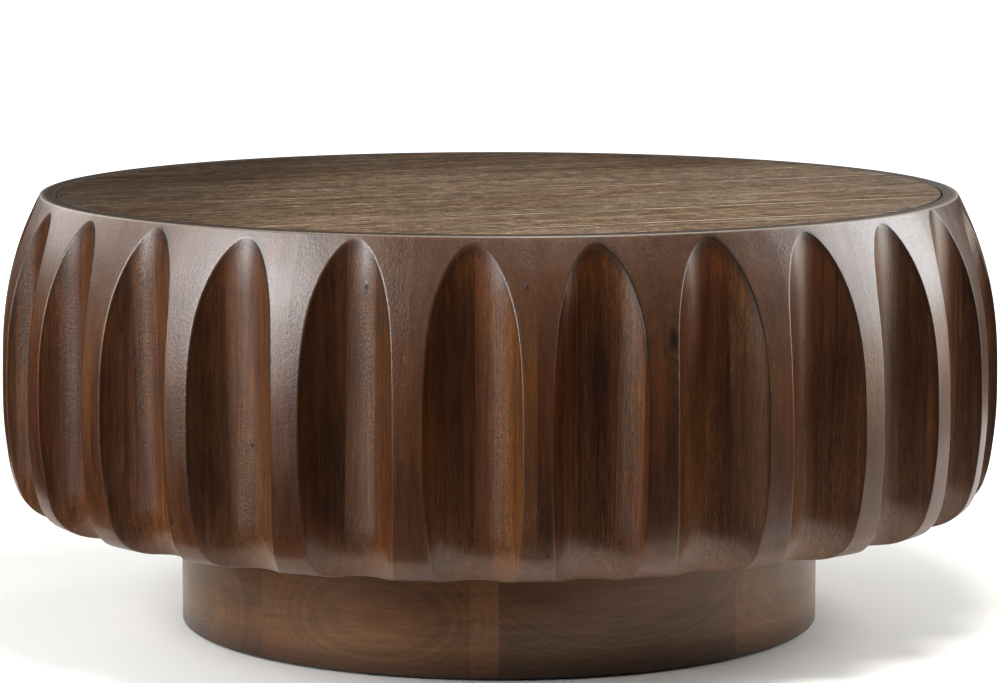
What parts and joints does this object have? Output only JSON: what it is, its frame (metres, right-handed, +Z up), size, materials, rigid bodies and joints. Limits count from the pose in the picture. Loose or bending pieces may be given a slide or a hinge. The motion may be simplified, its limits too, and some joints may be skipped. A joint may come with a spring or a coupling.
{
  "type": "drum coffee table",
  "caption": "Round fluted drum coffee table: a bulging wall of scooped wooden staves on a plain round plinth, with a plank top let in flush inside a narrow rim.",
  "frame": {"origin": "on the floor, on the table's axis, under the middle of the plinth", "axes": "+Z up along the axis of the drum; the grain of the top planks runs 24 degrees from +X towards +Y"},
  "size_m": [0.9993, 1.0003, 0.434],
  "materials": {
    "drum_wood": "dark walnut stain under satin lacquer, vertical grain",
    "top_wood": "greyed brown stain, matte, open grain",
    "plinth_wood": "dark walnut stain under satin lacquer, grain running round the plinth",
    "plywood": "plywood, stained brown where it shows underneath",
    "inner_wood": "bare softwood",
    "screw_zinc": "zinc plated",
    "bolt_zinc": "zinc plated",
    "felt": "dark pressed felt"
  },
  "bodies": {
    "root": {"stave_01": "drum_wood", "stave_02": "drum_wood", "stave_03": "drum_wood", "stave_04": "drum_wood", "stave_05": "drum_wood", "stave_06": "drum_wood", "stave_07": "drum_wood", "stave_08": "drum_wood", "stave_09": "drum_wood", "stave_10": "drum_wood", "stave_11": "drum_wood", "stave_12": "drum_wood", "stave_13": "drum_wood", "stave_14": "drum_wood", "stave_15": "drum_wood", "stave_16": "drum_wood", "stave_17": "drum_wood", "stave_18": "drum_wood", "stave_19": "drum_wood", "stave_20": "drum_wood", "stave_21": "drum_wood", "stave_22": "drum_wood", "stave_23": "drum_wood", "stave_24": "drum_wood", "stave_25": "drum_wood", "stave_26": "drum_wood", "stave_27": "drum_wood", "top_plank_1": "top_wood", "top_plank_2": "top_wood", "top_plank_3": "top_wood", "top_plank_4": "top_wood", "top_plank_5": "top_wood", "top_plank_6": "top_wood", "top_plank_7": "top_wood", "top_plank_8": "top_wood", "plinth_segment_1": "plinth_wood", "plinth_segment_2": "plinth_wood", "plinth_segment_3": "plinth_wood", "plinth_segment_4": "plinth_wood", "plinth_segment_5": "plinth_wood", "plinth_segment_6": "plinth_wood", "plinth_segment_7": "plinth_wood", "plinth_segment_8": "plinth_wood", "top_substrate": "plywood", "bottom_panel": "plywood", "plinth_plate": "plywood", "upper_corner_blocks": "inner_wood", "lower_corner_blocks": "inner_wood", "stave_tongues": "inner_wood", "plinth_dowels": "inner_wood", "corner_block_screws": "screw_zinc", "top_fixing_screws": "screw_zinc", "bottom_panel_screws": "screw_zinc", "plank_screws": "screw_zinc", "plinth_plate_screws": "screw_zinc", "mounting_bolts": "bolt_zinc", "mounting_washers": "bolt_zinc", "tee_nuts": "bolt_zinc", "felt_pads": "felt"}
  },
  "joints": []
}
